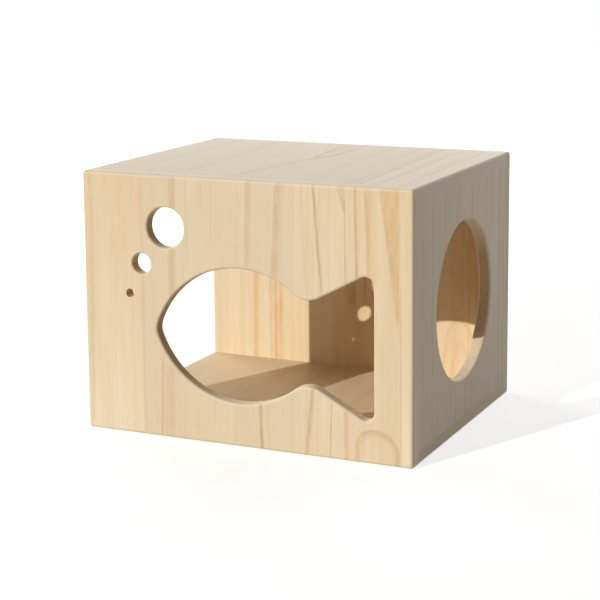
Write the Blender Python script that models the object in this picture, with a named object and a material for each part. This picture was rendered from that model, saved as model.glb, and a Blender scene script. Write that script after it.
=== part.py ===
"""Pine cat house: an open-ended box of five glued boards on hidden dowels.

Metres, +Z up. The origin is on the ground under the middle of the box. The front faces -Y,
the closed side faces +X and the open end faces -X.
"""

import math

import bmesh
import bpy
from mathutils import Matrix, Vector

# Outer box
WIDTH = 0.400
DEPTH = 0.330
HEIGHT = 0.300

# Boards
BOARD = 0.015            # thickness of every board
SEAM = 0.0003            # gap between two boards that meet
EDGE_ROUND = 0.0035      # rounding of the box's outer edges
EDGE_STEPS = 3           # flats that make one rounded outer edge

# Openings
RIM_ROUND = 0.0030       # rounding of an opening's edge, on both faces
RIM_STEPS = 2            # flats that make one rounded rim
CHORD_ERROR = 0.0001     # how far a straight facet may lie inside its true arc
CUT_PAST = 0.002         # how far a cutter runs past the faces that it cuts

# Fish-shaped opening in the front board: where it lies
NOSE_MARGIN = 0.0917     # board's open-end edge to the nose
TAIL_MARGIN = 0.0450     # end of the tail to the board's other edge
TOP_MARGIN = 0.0903      # board's top edge to the tail's upper tip, before it is rounded
BOTTOM_MARGIN = 0.0405   # tail's lower tip to the board's bottom edge

# Fish-shaped opening: how it is drawn, from the middle of its body
BODY_ARC = 0.1084        # radius of the back and of the belly
BODY_ARC_DROP = 0.0326   # each of these arcs is centred this far beyond the fish's axis
NOSE_ROUND = 0.020
WAIST_ROUND = 0.028      # hollow between the body and the tail
TAIL_REACH = 0.1599      # middle of the body to the end of the tail
TAIL_HALF_HEIGHT = 0.0846
TAIL_SLOPE = math.radians(28.0)
TAIL_CORNER_ROUND = 0.0095

# Bubbles over the fish's nose: from the open-end edge, from the top edge, diameter
BUBBLES = (
    (0.1055, 0.0594, 0.0460),
    (0.0744, 0.1020, 0.0235),
    (0.0592, 0.1368, 0.0100),
)

# Round opening in the side board, in the middle of it
SIDE_HOLE = 0.184

# Dowels
DOWEL_DIAMETER = 0.008
DOWEL_LENGTH = 0.030
DOWEL_CHAMFER = 0.0006
DOWEL_SIDES = 12
DOWEL_FIT = 0.0003       # gap round a dowel in its hole
TIP_GAP = 0.0005         # gap past each end of a dowel in its hole
DOWEL_COVER = 0.0055     # wood left over a dowel's hole in a board's face
DOWEL_INSET = 0.050      # first and last dowel to the ends of their joint
LONG_JOINT_DOWEL_COUNT = 3    # in each joint along the width
SHORT_JOINT_DOWEL_COUNT = 2   # in each joint of the side board

# Places that the sizes above give
LEFT, RIGHT = -WIDTH / 2, WIDTH / 2
FRONT, BACK = -DEPTH / 2, DEPTH / 2
BETWEEN_Y = (FRONT + BOARD + SEAM, BACK - BOARD - SEAM)
BETWEEN_Z = (BOARD + SEAM, HEIGHT - BOARD - SEAM)

# Finish: bare sanded wood
PINE = (0.80, 0.62, 0.40)
PALE_PINE = (0.82, 0.66, 0.45)
BEECH = (0.62, 0.42, 0.26)
PINE_ROUGHNESS = 0.55
BEECH_ROUGHNESS = 0.65
SMOOTH_UNDER = math.radians(35.0)   # flats that meet at less than this are one round surface
SAME_WAY = 0.9                      # a side whose normals agree this well is the same side


def clear_scene():
    for thing in list(bpy.data.objects):
        bpy.data.objects.remove(thing, do_unlink=True)


def make_material(name, colour, roughness):
    """Returns a plain material: bare wood has no metal in it."""
    material = bpy.data.materials.new(name)
    material.use_nodes = True
    shader = material.node_tree.nodes["Principled BSDF"]
    shader.inputs["Base Color"].default_value = (*colour, 1.0)
    shader.inputs["Roughness"].default_value = roughness
    shader.inputs["Metallic"].default_value = 0.0
    return material


def add_object(name, bm, material=None):
    """Closes a bmesh into a linked object with its faces pointing out."""
    bmesh.ops.recalc_face_normals(bm, faces=bm.faces)
    mesh = bpy.data.meshes.new(name)
    bm.to_mesh(mesh)
    bm.free()
    thing = bpy.data.objects.new(name, mesh)
    bpy.context.scene.collection.objects.link(thing)
    if material:
        mesh.materials.append(material)
        mesh.shade_smooth()
        mesh.set_sharp_from_angle(angle=SMOOTH_UNDER)
    return thing


def facets(radius, angle):
    """How many straight facets keep an arc within CHORD_ERROR."""
    step = 2.0 * math.acos(1.0 - CHORD_ERROR / radius)
    return max(2, math.ceil(abs(angle) / step))


def arc_points(centre, radius, start, end):
    """Points along an arc in a plane, both ends included."""
    count = facets(radius, end - start)
    angles = [start + (end - start) * i / count for i in range(count + 1)]
    return [centre + radius * Vector((math.cos(a), math.sin(a))) for a in angles]


def circle_outline(diameter):
    """A closed round outline about the origin."""
    return arc_points(Vector((0.0, 0.0)), diameter / 2, 0.0, 2.0 * math.pi)[:-1]


def fish_upper_half():
    """Nose to tail along the fish's back, as arcs that run smoothly into each other."""
    along = Vector((math.cos(TAIL_SLOPE), math.sin(TAIL_SLOPE)))
    out = Vector((-along.y, along.x))
    body = Vector((0.0, -BODY_ARC_DROP))

    # The nose's arc touches the body's from inside, centred on the axis.
    nose = Vector((-math.sqrt((BODY_ARC - NOSE_ROUND) ** 2 - BODY_ARC_DROP ** 2), 0.0))
    nose_turn = math.atan2(nose.y - body.y, nose.x - body.x)

    # The waist's arc touches the body's from outside, and the tail's straight edge.
    edge = out.dot(Vector((TAIL_REACH, TAIL_HALF_HEIGHT)))
    rise = edge + WAIST_ROUND - out.dot(body)
    run = math.sqrt((BODY_ARC + WAIST_ROUND) ** 2 - rise ** 2)
    waist = body + rise * out + run * along
    waist_turn = math.atan2(waist.y - body.y, waist.x - body.x)
    edge_turn = math.atan2(out.y, out.x)

    # The tail's corner lies between that edge and the tail's upright end.
    corner_x = TAIL_REACH - TAIL_CORNER_ROUND
    corner = Vector((corner_x, (edge - TAIL_CORNER_ROUND - out.x * corner_x) / out.y))

    return (
        arc_points(nose, NOSE_ROUND, math.pi, nose_turn)
        + arc_points(body, BODY_ARC, nose_turn, waist_turn)[1:]
        + arc_points(waist, WAIST_ROUND, waist_turn - math.pi, edge_turn - math.pi)[1:]
        + arc_points(corner, TAIL_CORNER_ROUND, edge_turn, 0.0)
    )


def fish_outline():
    """The closed fish, fitted between the front board's margins, in the board's x and z."""
    upper = fish_upper_half()
    lower = [Vector((p.x, -p.y)) for p in reversed(upper[1:])]
    drawn_nose = -math.sqrt(BODY_ARC ** 2 - BODY_ARC_DROP ** 2)
    stretch_x = (WIDTH - NOSE_MARGIN - TAIL_MARGIN) / (TAIL_REACH - drawn_nose)
    stretch_z = (HEIGHT - TOP_MARGIN - BOTTOM_MARGIN) / (2.0 * TAIL_HALF_HEIGHT)
    middle = Vector((
        LEFT + NOSE_MARGIN - drawn_nose * stretch_x,
        BOTTOM_MARGIN + TAIL_HALF_HEIGHT * stretch_z,
    ))
    return [middle + Vector((p.x * stretch_x, p.y * stretch_z)) for p in upper + lower]


def grown(outline, distance):
    """The outline moved outwards by a distance, square to its own edges."""
    area = sum(a.cross(b) for a, b in zip(outline, outline[1:] + outline[:1]))
    moved = []
    for i, point in enumerate(outline):
        back = (point - outline[i - 1]).normalized()
        ahead = (outline[(i + 1) % len(outline)] - point).normalized()
        normal = Vector(((back + ahead).y, -(back + ahead).x)).normalized()
        reach = distance / normal.dot(Vector((back.y, -back.x)))
        moved.append(point + normal * math.copysign(reach, area * distance))
    return moved


def rim_profile():
    """Depth below the board's first face against growth, over both rounded rims."""
    quarter = [math.pi / 2 * i / RIM_STEPS for i in range(RIM_STEPS + 1)]
    near = [(RIM_ROUND * (1 - math.cos(a)), RIM_ROUND * (1 - math.sin(a))) for a in quarter]
    far = [(BOARD - depth, growth) for depth, growth in reversed(near)]
    return [(-CUT_PAST, RIM_ROUND)] + near + far + [(BOARD + CUT_PAST, RIM_ROUND)]


def opening_cutter(name, outline, place):
    """A cutter through one board whose ends flare, so that the cut has rounded rims.

    place turns an outline point and a depth into a point of the model.
    """
    bm = bmesh.new()
    loops = []
    for depth, growth in rim_profile():
        ring = [bm.verts.new(place(p, depth)) for p in grown(outline, growth)]
        loops.append([bm.edges.new((ring[i - 1], ring[i])) for i in range(len(ring))])
        if len(loops) == 1:
            bm.faces.new(ring)
    bm.faces.new(ring)
    for first, second in zip(loops, loops[1:]):
        bmesh.ops.bridge_loops(bm, edges=first + second)
    return hide_cutter(add_object(name, bm))


def hide_cutter(thing):
    thing.hide_render = True
    thing.display_type = "WIRE"
    return thing


def cut(board, cutter):
    modifier = board.modifiers.new(cutter.name, "BOOLEAN")
    modifier.operation = "DIFFERENCE"
    modifier.solver = "EXACT"
    modifier.object = cutter


def make_board(name, low, high, outer, material):
    """A board between two corners, rounded where two of its outer sides meet.

    outer holds the board's sides that are on the outside of the box, as unit vectors.
    """
    low, high = Vector(low), Vector(high)
    size = high - low
    bm = bmesh.new()
    place = Matrix.Translation((low + high) / 2) @ Matrix.Diagonal((*size, 1.0))
    bmesh.ops.create_cube(bm, size=1.0, matrix=place)
    bm.normal_update()
    rounded = [
        edge for edge in bm.edges
        if all(any(face.normal.dot(side) > SAME_WAY for side in outer) for face in edge.link_faces)
    ]
    bmesh.ops.bevel(
        bm, geom=rounded, offset=EDGE_ROUND, offset_type="OFFSET", segments=EDGE_STEPS,
        profile=0.5, affect="EDGES", material=-1,
    )
    return add_object(name, bm, material)


def make_boards():
    """The five boards. Front and back cover the ends of the other three."""
    left, right = Vector((-1, 0, 0)), Vector((1, 0, 0))
    front, back = Vector((0, -1, 0)), Vector((0, 1, 0))
    down, up = Vector((0, 0, -1)), Vector((0, 0, 1))
    y_low, y_high = BETWEEN_Y
    z_low, z_high = BETWEEN_Z
    plan = {
        "front_board": ((LEFT, FRONT, 0.0), (RIGHT, FRONT + BOARD, HEIGHT),
                        (front, left, right, down, up), PINE),
        "back_board": ((LEFT, BACK - BOARD, 0.0), (RIGHT, BACK, HEIGHT),
                       (back, left, right, down, up), PINE),
        "top_board": ((LEFT, y_low, HEIGHT - BOARD), (RIGHT, y_high, HEIGHT),
                      (up, left, right), PALE_PINE),
        "floor_board": ((LEFT, y_low, 0.0), (RIGHT, y_high, BOARD),
                        (down, left, right), PALE_PINE),
        "side_board": ((RIGHT - BOARD, y_low, z_low), (RIGHT, y_high, z_high),
                       (right,), PINE),
    }
    return {
        name: make_board(name, low, high, outer, make_material(name, colour, PINE_ROUGHNESS))
        for name, (low, high, outer, colour) in plan.items()
    }


def cut_openings(boards):
    """The fish and its bubbles go through the front board, the round hole through the side."""
    def on_front(point, depth):
        return (point.x, FRONT + depth, point.y)

    def on_side(point, depth):
        return (RIGHT - depth, point.x, point.y)

    fish = opening_cutter("cutter_fish", fish_outline(), on_front)
    cut(boards["front_board"], fish)
    for number, (from_left, from_top, diameter) in enumerate(BUBBLES, start=1):
        middle = Vector((LEFT + from_left, HEIGHT - from_top))
        outline = [middle + point for point in circle_outline(diameter)]
        cut(boards["front_board"], opening_cutter(f"cutter_bubble_{number}", outline, on_front))
    middle = Vector((0.0, HEIGHT / 2))
    outline = [middle + point for point in circle_outline(SIDE_HOLE)]
    cut(boards["side_board"], opening_cutter("cutter_side_hole", outline, on_side))


def dowel_joints():
    """Each joint: its boards, its row's first and last point, its direction and its count.

    The row lies in the face of the first board, and its direction runs into the second one.
    """
    half = BOARD / 2
    into_box = {
        "front": (FRONT + BOARD, Vector((0, 1, 0))),
        "back": (BACK - BOARD, Vector((0, -1, 0))),
    }
    level = {"top": HEIGHT - half, "floor": half}
    joints = {}
    for wall, (plane, direction) in into_box.items():
        for shelf, z in level.items():
            joints[f"{wall}_{shelf}"] = (
                f"{wall}_board", f"{shelf}_board",
                Vector((LEFT + DOWEL_INSET, plane, z)), Vector((RIGHT - DOWEL_INSET, plane, z)),
                direction, LONG_JOINT_DOWEL_COUNT,
            )
        joints[f"{wall}_side"] = (
            f"{wall}_board", "side_board",
            Vector((RIGHT - half, plane, BETWEEN_Z[0] + DOWEL_INSET)),
            Vector((RIGHT - half, plane, BETWEEN_Z[1] - DOWEL_INSET)),
            direction, SHORT_JOINT_DOWEL_COUNT,
        )
    for shelf, plane, direction in (
        ("top", HEIGHT - BOARD, Vector((0, 0, -1))), ("floor", BOARD, Vector((0, 0, 1))),
    ):
        joints[f"{shelf}_side"] = (
            f"{shelf}_board", "side_board",
            Vector((RIGHT - half, BETWEEN_Y[0] + DOWEL_INSET, plane)),
            Vector((RIGHT - half, BETWEEN_Y[1] - DOWEL_INSET, plane)),
            direction, SHORT_JOINT_DOWEL_COUNT,
        )
    return joints


def rod(bm, start, direction, radius, length):
    """Adds a closed round rod to a bmesh and returns its vertices."""
    turn = Vector((0, 0, 1)).rotation_difference(direction).to_matrix().to_4x4()
    made = bmesh.ops.create_cone(
        bm, cap_ends=True, segments=DOWEL_SIDES, radius1=radius, radius2=radius, depth=length,
        matrix=Matrix.Translation(start + direction * length / 2) @ turn,
    )
    return made["verts"]


def make_dowels(boards):
    """Blind holes in both boards of each joint, and a glued dowel in each pair of holes."""
    in_face = BOARD - DOWEL_COVER - TIP_GAP
    for joint, (face, end, first, last, direction, count) in dowel_joints().items():
        feet = [
            first.lerp(last, i / (count - 1)) - direction * in_face for i in range(count)
        ]
        holes = bmesh.new()
        for foot in feet:
            rod(holes, foot - direction * TIP_GAP, direction,
                DOWEL_DIAMETER / 2 + DOWEL_FIT, DOWEL_LENGTH + 2 * TIP_GAP)
        cutter = hide_cutter(add_object(f"cutter_{joint}", holes))
        cut(boards[face], cutter)
        cut(boards[end], cutter)
        for number, foot in enumerate(feet, start=1):
            name = f"dowel_{joint}_{number}"
            bm = bmesh.new()
            rod(bm, foot, direction, DOWEL_DIAMETER / 2, DOWEL_LENGTH)
            ends = [face for face in bm.faces if len(face.verts) == DOWEL_SIDES]
            rims = [edge for face in ends for edge in face.edges]
            bmesh.ops.bevel(
                bm, geom=rims, offset=DOWEL_CHAMFER, offset_type="OFFSET", segments=1,
                profile=0.5, affect="EDGES", material=-1,
            )
            add_object(name, bm, make_material(name, BEECH, BEECH_ROUGHNESS))


def main():
    clear_scene()
    boards = make_boards()
    cut_openings(boards)
    make_dowels(boards)


main()
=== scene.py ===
import math

import bmesh
import bpy
from mathutils import Matrix, Vector


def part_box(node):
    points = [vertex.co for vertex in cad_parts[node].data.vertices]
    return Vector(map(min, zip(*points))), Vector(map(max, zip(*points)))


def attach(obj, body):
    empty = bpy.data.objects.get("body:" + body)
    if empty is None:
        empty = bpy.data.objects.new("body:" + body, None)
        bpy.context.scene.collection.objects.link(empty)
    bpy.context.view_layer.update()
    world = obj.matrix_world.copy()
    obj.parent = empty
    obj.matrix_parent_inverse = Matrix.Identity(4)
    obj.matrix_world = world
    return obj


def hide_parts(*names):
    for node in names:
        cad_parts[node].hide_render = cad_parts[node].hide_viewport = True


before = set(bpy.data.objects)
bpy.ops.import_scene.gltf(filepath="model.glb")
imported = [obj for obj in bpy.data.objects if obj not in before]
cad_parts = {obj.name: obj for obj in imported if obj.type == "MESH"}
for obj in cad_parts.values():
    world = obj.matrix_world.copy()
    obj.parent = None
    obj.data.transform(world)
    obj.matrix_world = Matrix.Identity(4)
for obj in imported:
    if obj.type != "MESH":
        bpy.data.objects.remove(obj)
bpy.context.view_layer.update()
print("frame loaded:", len(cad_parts), "nodes")


# Camera: in front of the box, to its right and a little above it

cameraView = {
    "place": (0.7961, -1.7413, 0.5577),
    "turn": 24.70,       # degrees round from straight in front
    "tilt": 9.05,        # degrees that the lens looks down
    "roll": -0.47,
    "focalLength": 99.1,
    "clip": (0.05, 60.0),
    "shift": -0.166,     # the photo's uprights converge less than the whole tilt would make them
}


def makeCamera(view):
    data = bpy.data.cameras.new("camera")
    data.lens = view["focalLength"]
    data.shift_y = view["shift"]
    data.clip_start, data.clip_end = view["clip"]
    thing = bpy.data.objects.new("camera", data)
    bpy.context.scene.collection.objects.link(thing)
    thing.matrix_world = (
        Matrix.Translation(view["place"])
        @ Matrix.Rotation(math.radians(view["turn"]), 4, "Z")
        @ Matrix.Rotation(math.radians(90.0 - view["tilt"]), 4, "X")
        @ Matrix.Rotation(math.radians(view["roll"]), 4, "Z")
    )
    bpy.context.scene.camera = thing


makeCamera(cameraView)
print("camera placed")


# Shader node helpers

def addNode(tree, kind, **settings):
    made = tree.nodes.new(kind)
    for name, value in settings.items():
        setattr(made, name, value)
    return made


def feed(tree, socket, value):
    # value is another node's output, or a plain number, vector or colour
    if isinstance(value, bpy.types.NodeSocket):
        tree.links.new(value, socket)
    else:
        socket.default_value = value


def calc(tree, operation, *values, clamp=False):
    made = addNode(tree, "ShaderNodeMath", operation=operation, use_clamp=clamp)
    for socket, value in zip(made.inputs, values):
        feed(tree, socket, value)
    return made.outputs[0]


def calcVector(tree, operation, *values):
    made = addNode(tree, "ShaderNodeVectorMath", operation=operation)
    for socket, value in zip(made.inputs, values):
        feed(tree, socket, value)
    return made.outputs["Value"] if operation in ("LENGTH", "DOT_PRODUCT") else made.outputs[0]


def combine(tree, x, y, z):
    made = addNode(tree, "ShaderNodeCombineXYZ")
    for socket, value in zip(made.inputs, (x, y, z)):
        feed(tree, socket, value)
    return made.outputs[0]


def split(tree, value):
    made = addNode(tree, "ShaderNodeSeparateXYZ")
    feed(tree, made.inputs[0], value)
    return made.outputs[0], made.outputs[1], made.outputs[2]


def ease(tree, value, low, high, lowGives=0.0, highGives=1.0):
    # smooth step from lowGives to highGives while value goes from low to high
    made = addNode(tree, "ShaderNodeMapRange", interpolation_type="SMOOTHSTEP")
    for name, setting in zip(("Value", "From Min", "From Max", "To Min", "To Max"),
                             (value, low, high, lowGives, highGives)):
        feed(tree, made.inputs[name], setting)
    return made.outputs["Result"]


def noise(tree, place, scale=1.0, detail=2.0, roughness=0.5):
    made = addNode(tree, "ShaderNodeTexNoise", noise_dimensions="3D")
    feed(tree, made.inputs["Vector"], place)
    feed(tree, made.inputs["Scale"], scale)
    feed(tree, made.inputs["Detail"], detail)
    feed(tree, made.inputs["Roughness"], roughness)
    return made.outputs["Fac"]


def bumpFrom(tree, height, relief):
    strength, depth = relief
    made = addNode(tree, "ShaderNodeBump")
    feed(tree, made.inputs["Strength"], strength)
    feed(tree, made.inputs["Distance"], depth)
    feed(tree, made.inputs["Height"], height)
    return made.outputs["Normal"]


def blend(tree, amount, first, second, mode="MIX"):
    made = addNode(tree, "ShaderNodeMix", data_type="RGBA", blend_type=mode)
    feed(tree, made.inputs[0], amount)
    feed(tree, made.inputs[6], first)
    feed(tree, made.inputs[7], second)
    return made.outputs[2]


def rgb(red, green, blue):
    # a colour given as 0..255 on screen, as the linear value that a socket takes
    linear = [(c / 255.0 + 0.055) / 1.055 for c in (red, green, blue)]
    return (*[c ** 2.4 for c in linear], 1.0)


def newGroup(name, inputs, outputs):
    tree = bpy.data.node_groups.new(name, "ShaderNodeTree")
    for label, kind, value in inputs:
        socket = tree.interface.new_socket(label, in_out="INPUT", socket_type=kind)
        socket.default_value = value
    for label, kind in outputs:
        tree.interface.new_socket(label, in_out="OUTPUT", socket_type=kind)
    entry = addNode(tree, "NodeGroupInput")
    result = addNode(tree, "NodeGroupOutput")
    return tree, entry.outputs, result.inputs


def useGroup(tree, group, **values):
    # keyword grainWidth feeds the socket "Grain Width"
    made = addNode(tree, "ShaderNodeGroup", node_tree=group)
    for key, value in values.items():
        label = "".join(" " + c if c.isupper() else c for c in key)
        feed(tree, made.inputs[label[0].upper() + label[1:]], value)
    return made.outputs


# Pine: growth rings about a leaning pith, cut by the board wherever its faces lie

number, vector = "NodeSocketFloat", "NodeSocketVector"

grainHabits = {
    "stemSway": (19.0, 0.006, 0.014),   # noise scale, metres across, metres through the board
    "goodYears": (0.45, 1.7),           # how often wide and narrow rings take turns, and how much
    "lateStart": (0.30, 0.30, 0.96),    # share of a ring before its late wood: least, spread, end
    "faintest": 0.15,                   # strength of the palest ring
    "fine": (1300.0, 0.022),            # noise scale, stretch along the grain
    "broad": (58.0, 0.09),
    "patches": (150.0, 0.3),
    "patchShow": (0.6, 1.08),           # how little and how much of a streak shows
    "ducts": (560.0, 0.16),
    "ductPatches": 31.0,
    "streakSway": 24.0,
    "archSway": (34.0, 0.25),           # noise scale, share of the arch's half width
    "archFoot": -1.5,                   # where an arch has faded out, before its foot
}


def makeRingGroup(habits):
    tree, given, result = newGroup("pineRings", (
        ("Across", number, 0.0),
        ("Along", number, 0.0),
        ("Depth", number, 0.0),
        ("Pith", vector, (0.0, 0.0, 0.0)),       # across, depth, lean along the grain
        ("Habit", vector, (0.006, 0.0, 0.0)),    # ring width, seed, strength
    ), (
        ("Late Wood", number),
    ))
    pithAcross, pithDepth, lean = split(tree, given["Pith"])
    ringWidth, seed, strength = split(tree, given["Habit"])

    # the stem is never quite round or straight
    swayScale, mostAcross, mostDepth = habits["stemSway"]
    place = combine(tree, given["Across"], calc(tree, "MULTIPLY", given["Along"], 0.16), seed)
    sway = addNode(tree, "ShaderNodeTexNoise", noise_dimensions="3D")
    feed(tree, sway.inputs["Vector"], place)
    sway.inputs["Scale"].default_value = swayScale
    sway.inputs["Detail"].default_value = 1.0
    swayAcross, swayDepth = split(tree, sway.outputs["Color"])[:2]
    across = calc(tree, "SUBTRACT", given["Across"], pithAcross)
    across = calc(tree, "MULTIPLY_ADD", swayAcross, mostAcross, across)
    depth = calc(tree, "SUBTRACT", given["Depth"], pithDepth)
    depth = calc(tree, "MULTIPLY_ADD", given["Along"], lean, depth)
    depth = calc(tree, "MULTIPLY_ADD", swayDepth, mostDepth, depth)
    reach = calcVector(tree, "LENGTH", combine(tree, across, depth, 0.0))
    rings = calc(tree, "DIVIDE", reach, ringWidth)
    often, much = habits["goodYears"]
    spread = noise(tree, combine(tree, calc(tree, "MULTIPLY", rings, often), seed, 0.0), 1.0, 0.0)
    rings = calc(tree, "MULTIPLY_ADD", spread, much, rings)

    # years differ: most rings are faint, and a few are dark
    chance = addNode(tree, "ShaderNodeTexWhiteNoise", noise_dimensions="2D")
    feed(tree, chance.inputs["Vector"], combine(tree, calc(tree, "FLOOR", rings), seed, 0.0))
    year = chance.outputs["Value"]
    part = calc(tree, "FRACT", rings)
    least, more, end = habits["lateStart"]
    start = calc(tree, "MULTIPLY_ADD", year, more, least)
    late = calc(tree, "MULTIPLY", ease(tree, part, start, end), ease(tree, part, end, 1.0, 1.0, 0.0))
    late = calc(tree, "POWER", late, 1.8)
    faintest = habits["faintest"]
    force = calc(tree, "MULTIPLY_ADD", calc(tree, "POWER", year, 2.0), 1.0 - faintest, faintest)
    late = calc(tree, "MULTIPLY", late, force)
    feed(tree, result["Late Wood"], calc(tree, "MULTIPLY", late, strength))
    return tree


def makeFibreGroup(habits):
    tree, given, result = newGroup("woodFibres", (
        ("Across", number, 0.0),
        ("Along", number, 0.0),
        ("Depth", number, 0.0),
        ("Seed", number, 0.0),
    ), (
        ("Fine", number),       # single fibres
        ("Broad", number),      # soft bands a finger wide
        ("Patches", number),    # how much of a streak shows, place by place
        ("Ducts", number),      # short brown resin lines
    ))

    def stretched(across, habit):
        # the place, drawn together along the grain, and this habit's noise scale
        scale, stretch = habits[habit]
        along = calc(tree, "MULTIPLY", given["Along"], stretch)
        return combine(tree, across, along, given["Depth"]), scale

    side = calc(tree, "ADD", given["Across"], given["Seed"])
    feed(tree, result["Fine"], noise(tree, *stretched(side, "fine"), 2.0, 0.6))
    broad, broadScale = stretched(side, "broad")
    feed(tree, result["Broad"], noise(tree, broad, broadScale, 2.0, 0.55))
    patchy = noise(tree, *stretched(given["Across"], "patches"), 2.0)
    feed(tree, result["Patches"], ease(tree, patchy, 0.30, 0.62, *habits["patchShow"]))
    patches = ease(tree, noise(tree, broad, habits["ductPatches"], 0.0), 0.5, 0.68)
    spots = ease(tree, noise(tree, *stretched(side, "ducts"), 0.0), 0.70, 0.80)
    feed(tree, result["Ducts"], calc(tree, "MULTIPLY", spots, patches))
    return tree


def makeStreakGroup(habits):
    tree, given, result = newGroup("grainStreak", (
        ("Across", number, 0.0),
        ("Along", number, 0.0),
        ("From", vector, (0.0, 0.0, 0.0)),     # across, along, half width
        ("To", vector, (0.0, 0.1, 0.0)),
        ("Before", number, 0.002),             # how far it fades on the lower side
        ("After", number, 0.002),              # and on the higher side
        ("Wander", number, 0.0015),
    ), (
        ("Mask", number),
    ))
    fromAcross, fromAlong, fromHalf = split(tree, given["From"])
    toAcross, toAlong, toHalf = split(tree, given["To"])
    share = calc(tree, "DIVIDE", calc(tree, "SUBTRACT", given["Along"], fromAlong),
                 calc(tree, "SUBTRACT", toAlong, fromAlong))
    middle = calc(tree, "MULTIPLY_ADD", share, calc(tree, "SUBTRACT", toAcross, fromAcross), fromAcross)
    half = calc(tree, "MULTIPLY_ADD", share, calc(tree, "SUBTRACT", toHalf, fromHalf), fromHalf)
    sway = noise(tree, combine(tree, fromAcross, given["Along"], toAcross), habits["streakSway"], 1.0)
    middle = calc(tree, "MULTIPLY_ADD", calc(tree, "SUBTRACT", sway, 0.5), given["Wander"], middle)
    off = calc(tree, "SUBTRACT", given["Across"], middle)
    below = calc(tree, "MULTIPLY", off, -1.0)
    low = calc(tree, "DIVIDE", calc(tree, "SUBTRACT", below, half), given["Before"])
    high = calc(tree, "DIVIDE", calc(tree, "SUBTRACT", off, half), given["After"])
    mask = ease(tree, calc(tree, "MAXIMUM", low, high), 0.0, 1.0, 1.0, 0.0)
    begin = ease(tree, share, -0.08, 0.12)
    end = ease(tree, share, 0.88, 1.08, 1.0, 0.0)
    feed(tree, result["Mask"], calc(tree, "MULTIPLY", mask, calc(tree, "MULTIPLY", begin, end)))
    return tree


def makeArchGroup(habits):
    tree, given, result = newGroup("grainArch", (
        ("Across", number, 0.0),
        ("Along", number, 0.0),
        ("Foot", vector, (0.0, 0.0, 0.0)),     # across, along, half width
        ("Apex", number, 0.05),                # along, past the foot or before it
        ("Line", number, 0.002),
        ("Squareness", number, 1.0),           # 1 is an ellipse, more has flatter sides
    ), (
        ("Mask", number),
    ))
    footAcross, footAlong, half = split(tree, given["Foot"])
    side = calc(tree, "DIVIDE", calc(tree, "SUBTRACT", given["Across"], footAcross), half)
    rise = calc(tree, "DIVIDE", calc(tree, "SUBTRACT", given["Along"], footAlong),
                calc(tree, "SUBTRACT", given["Apex"], footAlong))
    swayScale, most = habits["archSway"]
    sway = noise(tree, combine(tree, given["Across"], given["Along"], 0.0), swayScale, 1.0)
    square = calc(tree, "MULTIPLY", side, side)
    rise = calc(tree, "MAXIMUM", rise, habits["archFoot"])
    upper = calc(tree, "MAXIMUM", rise, 0.0)
    reach = calc(tree, "ADD", calc(tree, "POWER", square, given["Squareness"]),
                 calc(tree, "POWER", calc(tree, "MULTIPLY", upper, upper), given["Squareness"]))
    reach = calc(tree, "POWER", reach, calc(tree, "DIVIDE", 0.5, given["Squareness"]))
    reach = calc(tree, "MULTIPLY_ADD", calc(tree, "SUBTRACT", sway, 0.5), most, reach)
    off = calc(tree, "MULTIPLY", calc(tree, "SUBTRACT", reach, 1.0), half)
    outer = calc(tree, "DIVIDE", off, calc(tree, "MULTIPLY", given["Line"], 0.35))
    inner = calc(tree, "DIVIDE", calc(tree, "MULTIPLY", off, -1.0), given["Line"])
    mask = ease(tree, calc(tree, "MAXIMUM", outer, inner), 0.0, 1.0, 1.0, 0.0)
    foot = ease(tree, rise, habits["archFoot"], 0.0)
    feed(tree, result["Mask"], calc(tree, "MULTIPLY", mask, foot))
    return tree


pineRings = makeRingGroup(grainHabits)
woodFibres = makeFibreGroup(grainHabits)
grainStreak = makeStreakGroup(grainHabits)
grainArch = makeArchGroup(grainHabits)
print("wood node groups made")


# Pine boards are glued up from staves. Places in a board run from its open end or its front
# and from its foot, in metres.

pineLook = {
    "light": rgb(238, 220, 189),
    "golden": rgb(225, 199, 156),
    "grey": rgb(222, 203, 171),
    "late": rgb(208, 174, 122),      # dense wood that ends each ring
    "brown": rgb(199, 162, 110),     # streaks on warm boards
    "amber": rgb(213, 173, 117),
    "dull": rgb(184, 158, 124),      # streaks on the top and the side
    "sawn": rgb(186, 142, 98),       # wall of a sawn opening: sawn tone and painted shade, browner where the wall faces sideways
    # end grain, paler than the wood: partly painted light on the walls and rounded edges that face up or
    # down
    "endGrain": rgb(238, 224, 198),
    "mostTint": 0.9,                 # no streak covers the wood more than this
    "ductCover": 0.22,
    "glueLine": (0.0004, 0.16),      # width and cover
    "endCover": 0.7,
    "sawnAndShadeCover": (0.6, -0.48),       # sawn tone and painted shade on walls along the grain, and its change on end grain
    "torn": (430.0, -0.12, 0.04),    # sawn walls: noise scale, darkest and lightest change
    "fineShade": (0.975, 1.02),
    "broadShade": (1.012, 0.988),
    "broadGolden": 0.16,
    "roughness": 0.52,
    "rougher": (0.12, 0.16, -0.06),  # with fibres, end grain, late wood
    "sheen": (0.25, 0.5),            # weight and roughness
    "heights": (0.6, 0.4, -0.5, -0.6),    # of fibres, late wood, ducts, glue lines
    "relief": (0.18, 0.0002),        # strength and depth in metres
}

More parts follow.
